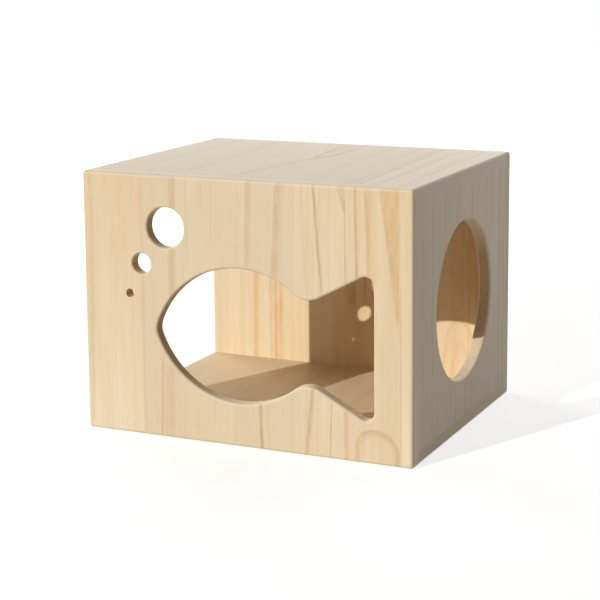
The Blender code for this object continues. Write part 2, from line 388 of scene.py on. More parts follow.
# stave: start, pith (across, depth, lean), rings (width, seed, strength),
#        tone (golden at the far end, golden at the near end, grey)
# streak: tint, strength, from and to (across, along, half width), fades before and after
# arch: tint, strength, foot (across, along, half width), apex, line width, squareness
frontWood = {
    "grain": "xzy",
    "origin": (-0.200, -0.1575, 0.0),
    "length": 0.300,
    "openings": ((0.05, 0.36), (0.035, 0.275)),      # across and along, where walls are sawn
    "staves": (
        (0.000, (0.300, 0.040, 0.02), (0.0072, 1.3, 0.16), (0.85, 0.05, 0.0)),
        (0.074, (0.420, 0.030, 0.01), (0.0085, 2.7, 0.14), (0.45, 0.40, 0.75)),
        (0.119, (0.020, 0.090, 0.04), (0.0078, 3.1, 0.16), (0.35, 0.55, 0.55)),
        (0.206, (0.520, 0.050, 0.03), (0.0080, 4.9, 0.19), (0.45, 0.45, 0.70)),
        (0.262, (0.110, 0.060, 0.05), (0.0074, 5.3, 0.22), (0.45, 0.30, 0.25)),
        (0.334, (0.200, 0.080, 0.03), (0.0062, 6.1, 0.25), (0.70, 0.50, 0.10)),
        (0.386, (0.560, 0.050, 0.02), (0.0070, 7.7, 0.20), (0.85, 0.15, 0.0)),
    ),
    "streaks": (
        ("brown", 0.36, (0.2080, 0.305, 0.0012), (0.2040, 0.200, 0.0008), 0.0018, 0.0075),
        ("brown", 0.48, (0.2440, 0.305, 0.0016), (0.2370, 0.190, 0.0008), 0.0022, 0.0110),
        ("brown", 0.73, (0.2846, 0.305, 0.0004), (0.2950, 0.180, 0.0006), 0.0008, 0.0034),
        ("brown", 0.42, (0.3168, 0.305, 0.0052), (0.3218, 0.272, 0.0004), 0.0010, 0.0010),
        ("brown", 0.59, (0.3224, 0.285, 0.0004), (0.3231, 0.190, 0.0003), 0.0009, 0.0014),
        ("brown", 0.62, (0.3338, 0.305, 0.0006), (0.3358, 0.195, 0.0005), 0.0012, 0.0028),
        ("brown", 0.44, (0.3455, 0.305, 0.0005), (0.3500, 0.190, 0.0005), 0.0011, 0.0034),
        ("amber", 0.34, (0.3480, 0.305, 0.0020), (0.3520, 0.195, 0.0015), 0.0040, 0.0110),
        ("amber", 0.60, (0.3722, 0.305, 0.0112), (0.3836, 0.150, 0.0003), 0.0016, 0.0012),
        ("brown", 0.22, (0.3640, 0.305, 0.0012), (0.3790, 0.180, 0.0008), 0.0012, 0.0040),
        ("amber", 0.35, (0.3856, 0.200, 0.0003), (0.3862, -0.01, 0.0003), 0.0008, 0.0014),
        ("brown", 0.20, (0.2630, 0.290, 0.0003), (0.2634, 0.230, 0.0003), 0.0007, 0.0010),
        ("brown", 0.22, (0.2722, 0.300, 0.0003), (0.2765, 0.195, 0.0003), 0.0007, 0.0012),
        ("brown", 0.77, (0.2205, 0.062, 0.0005), (0.2228, -0.01, 0.0008), 0.0016, 0.0032),
        ("brown", 0.28, (0.2300, 0.055, 0.0003), (0.2306, -0.01, 0.0005), 0.0010, 0.0020),
        ("brown", 0.53, (0.2848, 0.085, 0.0008), (0.2752, -0.01, 0.0014), 0.0014, 0.0036),
        ("brown", 0.59, (0.3064, 0.066, 0.0003), (0.3044, -0.01, 0.0004), 0.0007, 0.0010),
        ("amber", 0.55, (0.3220, 0.062, 0.0005), (0.3226, -0.01, 0.0008), 0.0010, 0.0080),
        ("brown", 0.50, (0.1000, 0.095, 0.0003), (0.0968, -0.01, 0.0005), 0.0009, 0.0014),
        ("amber", 0.30, (0.1085, 0.085, 0.0050), (0.1095, -0.01, 0.0052), 0.0040, 0.0007),
        ("brown", 0.42, (0.1165, 0.305, 0.0020), (0.1135, 0.150, 0.0016), 0.0050, 0.0018),
        ("brown", 0.22, (0.0085, 0.305, 0.0008), (0.0105, 0.240, 0.0008), 0.0014, 0.0020),
        ("amber", 0.25, (0.0110, 0.260, 0.0010), (0.0060, -0.01, 0.0008), 0.0030, 0.0030),
        ("brown", 0.17, (0.0748, 0.305, 0.0005), (0.0760, -0.01, 0.0005), 0.0012, 0.0035),
        ("brown", 0.21, (0.1510, 0.300, 0.0003), (0.1514, 0.245, 0.0003), 0.0009, 0.0016),
        ("brown", 0.18, (0.1622, 0.300, 0.0003), (0.1630, 0.235, 0.0003), 0.0009, 0.0016),
        ("brown", 0.17, (0.1320, 0.300, 0.0006), (0.1330, 0.205, 0.0006), 0.0024, 0.0030),
    ),
    "arches": (
        ("brown", 0.50, (0.3588, 0.008, 0.0240), 0.0375, 0.0068, 1.15),
    ),
}
backWood = {
    "grain": "xzy",
    "origin": (-0.200, 0.1575, 0.0),
    "length": 0.300,
    "openings": (),
    "staves": (
        (0.000, (-0.12, 0.030, 0.02), (0.0130, 11.3, 0.24), (0.60, 0.45, 0.0)),
        (0.046, (0.300, 0.040, -0.03), (0.0150, 12.1, 0.22), (0.50, 0.35, 0.0)),
        (0.102, (0.020, 0.060, 0.05), (0.0120, 13.9, 0.26), (0.60, 0.55, 0.0)),
        (0.171, (0.460, 0.050, 0.02), (0.0140, 14.2, 0.22), (0.80, 0.80, 0.0)),
        (0.236, (0.130, 0.035, 0.04), (0.0120, 15.8, 0.28), (0.80, 0.85, 0.0)),
        (0.300, (0.520, 0.060, -0.02), (0.0130, 16.4, 0.26), (0.80, 0.40, 0.0)),
        (0.362, (0.240, 0.050, 0.02), (0.0120, 17.6, 0.22), (0.75, 0.30, 0.0)),
    ),
    "streaks": (
        ("amber", 0.55, (0.0630, 0.300, 0.0014), (0.0610, -0.01, 0.0010), 0.0028, 0.0065),
        ("amber", 0.45, (0.0890, 0.300, 0.0040), (0.0930, -0.01, 0.0040), 0.0080, 0.0090),
        ("brown", 0.60, (0.0905, 0.300, 0.0004), (0.0900, -0.01, 0.0006), 0.0010, 0.0030),
        ("brown", 0.35, (0.0810, 0.150, 0.0003), (0.0840, -0.01, 0.0004), 0.0008, 0.0020),
        ("amber", 0.40, (0.1000, 0.300, 0.0010), (0.0975, 0.050, 0.0008), 0.0020, 0.0030),
        ("amber", 0.30, (0.1350, 0.300, 0.0008), (0.1340, -0.01, 0.0008), 0.0030, 0.0008),
        ("amber", 0.30, (0.2300, 0.300, 0.0200), (0.2250, -0.01, 0.0200), 0.0400, 0.0400),
        ("brown", 1.00, (0.2005, 0.320, 0.0026), (0.2010, 0.085, 0.0012), 0.0160, 0.0012),
        ("brown", 0.90, (0.2165, 0.320, 0.0012), (0.2160, 0.100, 0.0006), 0.0030, 0.0020),
        ("brown", 0.40, (0.3050, 0.300, 0.0006), (0.3120, -0.01, 0.0006), 0.0012, 0.0050),
        ("amber", 0.28, (0.3300, 0.300, 0.0030), (0.3360, -0.01, 0.0020), 0.0120, 0.0060),
        ("brown", 0.30, (0.3560, 0.300, 0.0005), (0.3530, -0.01, 0.0005), 0.0030, 0.0010),
        ("amber", 0.60, (0.3850, 0.330, 0.0400), (0.3850, 0.110, 0.0300), 0.0300, 0.0300),
    ),
    "arches": (
        ("brown", 0.32, (0.3420, 0.010, 0.0230), 0.0900, 0.0040, 1.0),
        ("brown", 0.24, (0.3440, 0.010, 0.0120), 0.0600, 0.0030, 1.0),
    ),
}
sideWood = {
    "grain": "yzx",
    "origin": (0.1925, -0.165, 0.0),
    "length": 0.300,
    "openings": ((0.06, 0.27), (0.05, 0.25)),
    "staves": (
        (0.000, (0.220, 0.040, 0.02), (0.0075, 21.3, 0.26), (0.60, 0.45, 0.1)),
        (0.058, (-0.10, 0.050, 0.03), (0.0082, 22.7, 0.24), (0.35, 0.35, 0.4)),
        (0.124, (0.420, 0.040, -0.03), (0.0070, 23.1, 0.28), (0.45, 0.50, 0.2)),
        (0.189, (0.050, 0.070, 0.04), (0.0078, 24.5, 0.28), (0.25, 0.40, 0.4)),
        (0.252, (0.500, 0.050, 0.02), (0.0062, 25.9, 0.32), (0.45, 0.50, 0.2)),
    ),
    "streaks": (
        ("dull", 0.55, (0.0590, 0.290, 0.0003), (0.0600, -0.01, 0.0003), 0.0007, 0.0016),
        ("dull", 0.22, (0.0270, 0.290, 0.0004), (0.0280, 0.010, 0.0004), 0.0014, 0.0040),
        ("dull", 0.30, (0.0985, 0.285, 0.0010), (0.0960, 0.170, 0.0005), 0.0020, 0.0060),
        ("dull", 0.24, (0.1450, 0.285, 0.0010), (0.1470, 0.230, 0.0005), 0.0050, 0.0016),
        ("dull", 0.26, (0.1890, 0.285, 0.0008), (0.1880, 0.010, 0.0005), 0.0014, 0.0040),
        ("dull", 0.24, (0.2380, 0.285, 0.0010), (0.2350, 0.150, 0.0005), 0.0020, 0.0060),
        ("dull", 0.34, (0.2885, 0.300, 0.0014), (0.2900, -0.01, 0.0010), 0.0016, 0.0070),
        ("dull", 0.38, (0.3080, 0.300, 0.0014), (0.3065, -0.01, 0.0010), 0.0060, 0.0020),
        ("dull", 0.20, (0.1330, 0.060, 0.0010), (0.1350, -0.01, 0.0008), 0.0020, 0.0060),
        ("dull", 0.22, (0.1680, 0.055, 0.0010), (0.1670, -0.01, 0.0008), 0.0020, 0.0060),
    ),
    "arches": (),
}
topWood = {
    "grain": "xyz",
    "origin": (-0.200, -0.165, 0.2925),
    "length": 0.330,
    "openings": (),
    "staves": (
        (0.000, (0.210, 0.050, 0.02), (0.0095, 31.7, 0.20), (0.10, 0.45, 0.65)),
        (0.066, (-0.08, 0.040, 0.03), (0.0088, 32.3, 0.20), (0.00, 0.40, 0.70)),
        (0.132, (0.400, 0.060, -0.02), (0.0100, 33.9, 0.16), (0.10, 0.50, 0.60)),
        (0.190, (0.222, 0.090, 0.05), (0.0092, 34.1, 0.16), (0.05, 0.50, 0.60)),
        (0.262, (0.020, 0.060, 0.03), (0.0095, 35.5, 0.20), (0.00, 0.45, 0.70)),
        (0.330, (0.560, 0.050, 0.02), (0.0080, 36.2, 0.28), (0.05, 0.25, 0.30)),
    ),
    "streaks": (
        ("dull", 0.30, (0.2060, 0.200, 0.0020), (0.1760, -0.01, 0.0020), 0.0060, 0.0060),
        ("dull", 0.24, (0.1840, 0.160, 0.0012), (0.1740, -0.01, 0.0014), 0.0040, 0.0050),
        ("dull", 0.36, (0.3160, 0.340, 0.0010), (0.3330, -0.01, 0.0010), 0.0030, 0.0060),
        ("dull", 0.34, (0.3450, 0.340, 0.0012), (0.3520, -0.01, 0.0010), 0.0050, 0.0030),
        ("dull", 0.26, (0.3720, 0.340, 0.0010), (0.3780, -0.01, 0.0008), 0.0030, 0.0040),
        ("dull", 0.20, (0.2560, 0.340, 0.0020), (0.2650, 0.080, 0.0010), 0.0060, 0.0040),
        ("dull", 0.20, (0.0950, 0.340, 0.0030), (0.1150, 0.040, 0.0010), 0.0080, 0.0050),
        ("dull", 0.22, (0.3120, 0.300, 0.0020), (0.3220, -0.01, 0.0010), 0.0070, 0.0030),
        ("dull", 0.18, (0.0400, 0.340, 0.0010), (0.0460, 0.100, 0.0010), 0.0040, 0.0060),
        ("amber", 0.26, (0.1960, 0.340, 0.0020), (0.2120, 0.215, 0.0012), 0.0040, 0.0070),
        ("amber", 0.24, (0.2900, 0.340, 0.0030), (0.3020, 0.160, 0.0010), 0.0060, 0.0050),
        ("amber", 0.28, (0.3330, 0.340, 0.0020), (0.3430, 0.140, 0.0010), 0.0040, 0.0060),
        ("amber", 0.26, (0.3620, 0.340, 0.0030), (0.3700, 0.100, 0.0010), 0.0050, 0.0050),
    ),
    "arches": (
        ("dull", 0.64, (0.2070, 0.250, 0.0125), 0.1840, 0.0080, 0.8),
    ),
}
floorWood = {
    "grain": "xyz",
    "origin": (-0.200, -0.165, 0.0075),
    "length": 0.330,
    "openings": (),
    "staves": (
        (0.000, (0.180, 0.040, 0.03), (0.0130, 41.3, 0.26), (0.45, 0.60, 0.1)),
        (0.058, (-0.10, 0.060, 0.02), (0.0120, 42.9, 0.24), (0.45, 0.55, 0.1)),
        (0.128, (0.360, 0.030, -0.04), (0.0140, 43.7, 0.28), (0.60, 0.70, 0.0)),
        (0.196, (0.060, 0.050, 0.05), (0.0120, 44.1, 0.28), (0.60, 0.70, 0.0)),
        (0.258, (0.480, 0.040, 0.03), (0.0110, 45.5, 0.34), (0.85, 0.90, 0.0)),
        (0.328, (0.250, 0.060, -0.02), (0.0120, 46.8, 0.26), (0.80, 0.85, 0.0)),
        (0.386, (0.420, 0.040, 0.02), (0.0120, 47.3, 0.16), (0.00, 0.00, 0.0)),
    ),
    "streaks": (
        ("brown", 0.55, (0.2860, 0.340, 0.0010), (0.2800, -0.01, 0.0010), 0.0020, 0.0070),
        ("brown", 0.50, (0.3120, 0.340, 0.0008), (0.3080, -0.01, 0.0010), 0.0020, 0.0060),
        ("amber", 0.40, (0.3400, 0.340, 0.0060), (0.3300, -0.01, 0.0060), 0.0200, 0.0100),
        ("brown", 0.40, (0.3560, 0.340, 0.0008), (0.3600, -0.01, 0.0008), 0.0050, 0.0020),
        ("brown", 0.30, (0.2250, 0.340, 0.0008), (0.2300, -0.01, 0.0008), 0.0020, 0.0060),
        ("brown", 0.26, (0.1800, 0.340, 0.0008), (0.1750, -0.01, 0.0008), 0.0060, 0.0020),
        ("brown", 0.24, (0.0900, 0.340, 0.0008), (0.1000, -0.01, 0.0008), 0.0020, 0.0060),
    ),
    "arches": (),
}


def stepThrough(tree, pastLines, values):
    # a value that jumps from one stave's to the next one's at each glue line
    level = values[0]
    for past, before, after in zip(pastLines, values, values[1:]):
        jump = tuple(b - a for a, b in zip(before, after))
        level = calcVector(tree, "MULTIPLY_ADD", past, jump, level)
    return level


def glueLines(tree, across, starts, width):
    # 1 on the hairline between two staves
    nearest = 1.0
    for start in starts:
        off = calc(tree, "ABSOLUTE", calc(tree, "SUBTRACT", across, start))
        nearest = calc(tree, "MINIMUM", nearest, off)
    return ease(tree, nearest, 0.0, width, 1.0, 0.0)


def sawnWall(tree, facesThrough, places, ranges):
    # 1 on the wall of an opening, which faces neither way through the board
    mask = ease(tree, calc(tree, "ABSOLUTE", facesThrough), 0.05, 0.55, 1.0, 0.0)
    for place, (low, high) in zip(places, ranges):
        inside = calc(tree, "COMPARE", place, (low + high) / 2, (high - low) / 2)
        mask = calc(tree, "MULTIPLY", mask, inside)
    return mask


def makePine(name, look, wood):
    # grain names the axes that run across, along and through the board
    material = bpy.data.materials.new(name)
    material.use_nodes = True
    tree = material.node_tree
    shader = tree.nodes["Principled BSDF"]
    texture = addNode(tree, "ShaderNodeTexCoord")
    place = dict(zip("xyz", split(tree, calcVector(
        tree, "SUBTRACT", texture.outputs["Object"], wood["origin"]))))
    facing = dict(zip("xyz", split(tree, texture.outputs["Normal"])))
    across, along, depth = (place[axis] for axis in wood["grain"])
    endGrain = ease(tree, calc(tree, "ABSOLUTE", facing[wood["grain"][1]]), 0.30, 0.85)

    starts = [stave[0] for stave in wood["staves"][1:]]
    pastLines = [calc(tree, "GREATER_THAN", across, start) for start in starts]
    pith, habit, tone = (
        stepThrough(tree, pastLines, [stave[part] for stave in wood["staves"]]) for part in (1, 2, 3)
    )
    seed = split(tree, habit)[1]
    goldenFar, goldenNear, grey = split(tree, tone)
    rings = useGroup(tree, pineRings, across=across, along=along, depth=depth, pith=pith, habit=habit)
    fibres = useGroup(tree, woodFibres, across=across, along=along, depth=depth, seed=seed)
    late, fine, broad = rings["Late Wood"], fibres["Fine"], fibres["Broad"]

    # tone of each stave, from its near end to its far end
    share = calc(tree, "DIVIDE", along, wood["length"], clamp=True)
    golden = calc(tree, "MULTIPLY_ADD", calc(tree, "SUBTRACT", goldenFar, goldenNear), share, goldenNear)
    most = look["broadGolden"]
    golden = calc(tree, "ADD", golden, ease(tree, broad, 0.3, 0.7, -most, most), clamp=True)
    paint = blend(tree, golden, look["light"], look["golden"])
    paint = blend(tree, grey, paint, look["grey"])
    paint = blend(tree, late, paint, look["late"])

    # streaks and arches, added up by tint
    tints = {"brown": 0.0, "amber": 0.0, "dull": 0.0}
    for tint, strength, begin, end, before, after in wood["streaks"]:
        made = useGroup(tree, grainStreak, across=across, along=along, before=before, after=after,
                        **{"from": begin, "to": end})
        tints[tint] = calc(tree, "MULTIPLY_ADD", made["Mask"], strength, tints[tint])
    for tint, strength, foot, apex, line, squareness in wood["arches"]:
        made = useGroup(tree, grainArch, across=across, along=along, foot=foot, apex=apex, line=line,
                        squareness=squareness)
        tints[tint] = calc(tree, "MULTIPLY_ADD", made["Mask"], strength, tints[tint])
    tints = {tint: calc(tree, "MULTIPLY", amount, fibres["Patches"]) for tint, amount in tints.items()}
    tints["brown"] = calc(tree, "MULTIPLY_ADD", fibres["Ducts"], look["ductCover"], tints["brown"])
    lineWidth, lineCover = look["glueLine"]
    hairlines = glueLines(tree, across, starts, lineWidth)
    tints["brown"] = calc(tree, "MULTIPLY_ADD", hairlines, lineCover, tints["brown"])
    for tint, amount in tints.items():
        paint = blend(tree, calc(tree, "MINIMUM", amount, look["mostTint"]), paint, look[tint])

    # end-grain faces take the paler tone, which is partly painted light
    paint = blend(tree, calc(tree, "MULTIPLY", endGrain, look["endCover"]), paint, look["endGrain"])
    shade = calc(tree, "MULTIPLY", ease(tree, fine, 0.25, 0.75, *look["fineShade"]),
                 ease(tree, broad, 0.3, 0.7, *look["broadShade"]))
    if wood["openings"]:
        wall = sawnWall(tree, facing[wood["grain"][2]], (across, along), wood["openings"])
        # walls of openings take the sawn tone with painted shade, less on end-grain walls that face up
        # or down
        plain, change = look["sawnAndShadeCover"]
        cover = calc(tree, "MULTIPLY_ADD", endGrain, change, plain)
        paint = blend(tree, calc(tree, "MULTIPLY", wall, cover), paint, look["sawn"])
        tornScale, darkest, lightest = look["torn"]
        torn = noise(tree, texture.outputs["Object"], tornScale, 3.0, 0.7)
        torn = ease(tree, torn, 0.38, 0.62, darkest, lightest)
        shade = calc(tree, "MULTIPLY", shade, calc(tree, "MULTIPLY_ADD", wall, torn, 1.0))
    paint = blend(tree, 1.0, paint, combine(tree, shade, shade, shade), "MULTIPLY")
    feed(tree, shader.inputs["Base Color"], paint)

    rough = look["roughness"] - look["rougher"][0] / 2
    for cause, change in zip((fine, endGrain, late), look["rougher"]):
        rough = calc(tree, "MULTIPLY_ADD", cause, change, rough)
    feed(tree, shader.inputs["Roughness"], rough)
    sheen, sheenRoughness = look["sheen"]
    shader.inputs["Sheen Weight"].default_value = sheen
    shader.inputs["Sheen Roughness"].default_value = sheenRoughness

    relief = 0.0
    for cause, height in zip((fine, late, fibres["Ducts"], hairlines), look["heights"]):
        relief = calc(tree, "MULTIPLY_ADD", cause, height, relief)
    feed(tree, shader.inputs["Normal"], bumpFrom(tree, relief, look["relief"]))
    return material


woods = {"front": frontWood, "back": backWood, "side": sideWood, "top": topWood, "floor": floorWood}
# The top, back and floor use copies of the one pine in darker colours: partly painted shade, strongest
# on the floor inside the box
looks = {
    "front": pineLook,
    "side": pineLook,
    "top": {**pineLook, "light": rgb(232, 216, 188), "grey": rgb(214, 197, 168)},
    "back": {
        **pineLook,
        "light": rgb(231, 215, 187),
        "golden": rgb(221, 197, 154),
        "grey": rgb(218, 200, 168),
    },
    "floor": {
        **pineLook,
        "light": rgb(219, 196, 152),
        "golden": rgb(207, 173, 115),
        "grey": rgb(205, 180, 136),
    },
}
pineMaterials = {
    board: makePine(board + "Pine", looks[board], wood) for board, wood in woods.items()
}
print("pine materials made")


# Boards: the same solids as the frame's, with finer edges

boxSizes = {
    "low": (-0.200, -0.165, 0.0),
    "high": (0.200, 0.165, 0.300),
    "board": 0.015,
    "seam": 0.00004,          # glued tight
    "outerRound": 0.0035,
    "outerSteps": 8,
    "mouthRound": 0.0012,     # inner edges round the open end
    "mouthSteps": 3,
    "rimSteps": 6,
    "arcError": 0.00002,      # how far a straight side may lie inside its arc
    "flat": 0.999,            # faces whose normals agree this well look the same way
    "touch": 0.000001,        # points this close lie in one plane
}
left, front = boxSizes["low"][:2]

axes = {
    "left": Vector((-1, 0, 0)), "right": Vector((1, 0, 0)),
    "front": Vector((0, -1, 0)), "back": Vector((0, 1, 0)),
    "down": Vector((0, 0, -1)), "up": Vector((0, 0, 1)),
}


def boxPlan(sizes):
    # corners and outer sides of each board; front and back cover the ends of the others
    x0, y0, z0 = sizes["low"]
    x1, y1, z1 = sizes["high"]
    board, seam = sizes["board"], sizes["seam"]
    yIn, yOut = y0 + board + seam, y1 - board - seam
    zIn, zOut = z0 + board + seam, z1 - board - seam
    return {
        "front": ((x0, y0, z0), (x1, y0 + board, z1), ("front", "left", "right", "down", "up")),
        "back": ((x0, y1 - board, z0), (x1, y1, z1), ("back", "left", "right", "down", "up")),
        "top": ((x0, yIn, z1 - board), (x1, yOut, z1), ("up", "left", "right")),
        "floor": ((x0, yIn, z0), (x1, yOut, z0 + board), ("down", "left", "right")),
        "side": ((x1 - board, yIn, zIn), (x1, yOut, zOut), ("right",)),
    }


def roundEdges(bm, edges, offset, segments):
    bmesh.ops.bevel(
        bm, geom=edges, offset=offset, offset_type="OFFSET", segments=segments,
        profile=0.5, affect="EDGES", material=-1, clamp_overlap=True,
    )
    bm.normal_update()


def edgesBetween(bm, sides, flat):
    # edges whose two faces both look one of these ways
    return [
        edge for edge in bm.edges
        if len(edge.link_faces) == 2
        and all(any(face.normal.dot(axes[side]) > flat for side in sides) for face in edge.link_faces)
        and edge.link_faces[0].normal.dot(edge.link_faces[1].normal) < 0.5
    ]


def easeMouth(bm, inner, sizes, low=None, high=None):
    # breaks the inner edge of the open end, on an upright board between floor and top only
    if low is not None:
        for height in (low, high):
            bmesh.ops.bisect_plane(bm, geom=bm.verts[:] + bm.edges[:] + bm.faces[:],
                                   plane_co=(0.0, 0.0, height), plane_no=(0.0, 0.0, 1.0))
        bm.normal_update()
    edges = edgesBetween(bm, (inner, "left"), sizes["flat"])
    if low is not None:
        low, high = low - sizes["touch"], high + sizes["touch"]
        edges = [edge for edge in edges if all(low < vert.co.z < high for vert in edge.verts)]
    roundEdges(bm, edges, sizes["mouthRound"], sizes["mouthSteps"])


def refillSide(bm, side, touch):
    # gives a flat side new faces that leave out every opening whose rim lies in it
    direction = axes[side]
    plane = max(vert.co.dot(direction) for vert in bm.verts)

    def inPlane(part):
        return all(abs(vert.co.dot(direction) - plane) < touch for vert in part.verts)

    bmesh.ops.delete(bm, geom=[face for face in bm.faces if inPlane(face)], context="FACES")
    rims = [edge for edge in bm.edges if len(edge.link_faces) == 1 and inPlane(edge)]
    bmesh.ops.triangle_fill(bm, use_beauty=True, edges=rims, normal=direction)
    bm.normal_update()


def arc(centre, radius, start, end, steps):
    angles = [start + (end - start) * i / steps for i in range(steps + 1)]
    return [(centre[0] + radius * math.cos(a), centre[1] + radius * math.sin(a)) for a in angles]


def arcSteps(radius, turn, error):
    return max(3, math.ceil(abs(turn) / (2.0 * math.acos(1.0 - error / radius))))


def rimRows(sizes, radius):
    # depth from the first face and growth of the outline, down one rounded rim and out the other
    steps, board = sizes["rimSteps"], sizes["board"]
    quarter = [math.pi / 2 * i / steps for i in range(steps + 1)]
    near = [(radius * (1 - math.cos(a)), radius * (1 - math.sin(a))) for a in quarter]
    return near + [(board - depth, growth) for depth, growth in reversed(near)]


def openWall(bm, rows, outline, place):
    # the wall of an opening through a board: outline(growth) draws it, place stands it up
    before = None
    for depth, growth in rows:
        ring = [bm.verts.new(place(point, depth)) for point in outline(growth)]
        loop = [bm.edges.new(pair) for pair in zip(ring, ring[1:] + ring[:1])]
        if before:
            bmesh.ops.bridge_loops(bm, edges=before + loop)
        before = loop


fishShape = {
    "axis": 0.1251,            # height of the fish's middle line
    "middle": 0.1951,          # from the board's open-end edge to the middle of the body
    "bodyArc": 0.1084,         # radius of the back and of the belly
    "bodyDrop": 0.0326,        # each of these arcs is centred this far past the middle line
    "noseRound": 0.020,
    "waistRound": 0.028,       # hollow between body and tail
    "tailReach": 0.1599,       # from the middle of the body
    "tailHalf": 0.0846,
    "tailSlope": 28.0,
    "cornerRound": 0.0095,
    "rimRound": 0.0030,
}

# across from the open-end edge or the front, height, radius, rounding of its two rims
bubbles = (
    (0.1055, 0.2406, 0.0230, 0.0026),
    (0.0744, 0.1980, 0.01175, 0.0020),
    (0.0592, 0.1632, 0.0050, 0.0003),
)
sideHole = (0.165, 0.150, 0.092, 0.0028)


def fishOutline(fish, error, growth):
    # arcs of nose, body, waist and tail corner that run into each other, then their mirror
    slope = math.radians(fish["tailSlope"])
    along = Vector((math.cos(slope), math.sin(slope)))
    out = Vector((-along.y, along.x))
    body = Vector((0.0, -fish["bodyDrop"]))
    tip = math.sqrt((fish["bodyArc"] - fish["noseRound"]) ** 2 - fish["bodyDrop"] ** 2)
    nose = Vector((-tip, 0.0))
    noseTurn = math.atan2(nose.y - body.y, nose.x - body.x)
    edge = out.dot(Vector((fish["tailReach"], fish["tailHalf"])))
    rise = edge + fish["waistRound"] - out.dot(body)
    run = math.sqrt((fish["bodyArc"] + fish["waistRound"]) ** 2 - rise ** 2)
    waist = body + rise * out + run * along
    waistTurn = math.atan2(waist.y - body.y, waist.x - body.x)
    edgeTurn = math.atan2(out.y, out.x)
    cornerX = fish["tailReach"] - fish["cornerRound"]
    corner = Vector((cornerX, (edge - fish["cornerRound"] - out.x * cornerX) / out.y))

    parts = (
        (nose, fish["noseRound"], growth, math.pi, noseTurn),
        (body, fish["bodyArc"], growth, noseTurn, waistTurn),
        (waist, fish["waistRound"], -growth, waistTurn - math.pi, edgeTurn - math.pi),
        (corner, fish["cornerRound"], growth, edgeTurn, 0.0),
    )
    upper = []
    for centre, radius, change, start, end in parts:
        points = arc(centre, radius + change, start, end, arcSteps(radius, end - start, error))
        meets = centre is body or centre is waist      # begins where the last arc ends
        upper += points[1:] if meets else points
    lower = [(x, -z) for x, z in reversed(upper[1:])]
    return [(left + fish["middle"] + x, fish["axis"] + z) for x, z in upper + lower]


def roundOutline(middle, height, radius, error, growth):
    steps = arcSteps(radius, 2.0 * math.pi, error)
    return arc((middle, height), radius + growth, 0.0, 2.0 * math.pi, steps)[:-1]


dowelHoles = {
    "fit": 0.0003,
    "tipGap": 0.0005,
    "sides": 24,
}


def drillHoles(bm, side, joint, holes):
    # blind holes into this side of a board, one round each dowel of the joint
    inward = -axes[side]
    plane = max(vert.co.dot(-inward) for vert in bm.verts)
    turn = Vector((0, 0, 1)).rotation_difference(inward).to_matrix().to_4x4()
    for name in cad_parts:
        if not name.startswith("dowel_" + joint + "_"):
            continue
        low, high = (Vector(corner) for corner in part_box(name))
        middle = (low + high) / 2
        reach = max(high.dot(inward), low.dot(inward)) + plane + holes["tipGap"]
        mouth = middle - inward * (middle.dot(inward) + plane)
        thickness = min(high - low)
        ring = bmesh.ops.create_circle(
            bm, segments=holes["sides"], radius=thickness / 2 + holes["fit"],
            matrix=Matrix.Translation(mouth) @ turn,
        )
        rim = list({edge for vert in ring["verts"] for edge in vert.link_edges})
        wall = bmesh.ops.extrude_edge_only(bm, edges=rim)
        deep = [part for part in wall["geom"] if isinstance(part, bmesh.types.BMVert)]
        bmesh.ops.translate(bm, verts=deep, vec=inward * reach)
        floor = list({edge for vert in deep for edge in vert.link_edges
                      if all(end in deep for end in edge.verts)})
        bmesh.ops.edgeloop_fill(bm, edges=floor)


def finishBoard(bm, name, material, node, smooth=35.0):
    bmesh.ops.recalc_face_normals(bm, faces=bm.faces)
    mesh = bpy.data.meshes.new(name)
    bm.to_mesh(mesh)
    bm.free()
    mesh.materials.append(material)
    mesh.shade_smooth()
    mesh.set_sharp_from_angle(angle=math.radians(smooth))
    piece = bpy.data.objects.new(name, mesh)
    bpy.context.scene.collection.objects.link(piece)
    normals = piece.modifiers.new("flat faces stay flat", "WEIGHTED_NORMAL")
    normals.keep_sharp = True
    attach(piece, "root")
    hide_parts(node)
    return piece


def makeBoard(which, sizes, openings=(), joints=(), mouth=None):
    low, high, outer = boxPlan(sizes)[which]
    low, high = Vector(low), Vector(high)
    bm = bmesh.new()
    stretch = Matrix.Diagonal((*(high - low), 1.0))
    bmesh.ops.create_cube(bm, size=1.0, matrix=Matrix.Translation((low + high) / 2) @ stretch)
    bm.normal_update()
    roundEdges(bm, edgesBetween(bm, outer, sizes["flat"]), sizes["outerRound"], sizes["outerSteps"])
    if mouth:
        easeMouth(bm, sizes=sizes, **mouth)
    for outline, place, rim in openings:
        openWall(bm, rimRows(sizes, rim), outline, place)
    for side, joint in joints:
        drillHoles(bm, side, joint, dowelHoles)
    changed = [side for side, joint in joints]
    if openings:
        changed += ["front", "back"] if which == "front" else ["left", "right"]
    for side in dict.fromkeys(changed):
        refillSide(bm, side, sizes["touch"])
    piece = finishBoard(bm, which + "Board", pineMaterials[which], which + "_board")
    print(which, "board:", len(piece.data.polygons), "faces")
    return piece


def frontOpenings(sizes):
    def stand(point, depth):
        return (point[0], sizes["low"][1] + depth, point[1])

    error = sizes["arcError"]
    made = [(lambda growth: fishOutline(fishShape, error, growth), stand, fishShape["rimRound"])]
    for across, height, radius, rim in bubbles:
        made.append((
            lambda growth, x=left + across, z=height, r=radius: roundOutline(x, z, r, error, growth),
            stand, rim,
        ))
    return made


def sideOpenings(sizes):
    def stand(point, depth):
        return (sizes["high"][0] - depth, front + point[0], point[1])

    across, height, radius, rim = sideHole
    return [(lambda growth: roundOutline(across, height, radius, sizes["arcError"], growth), stand, rim)]


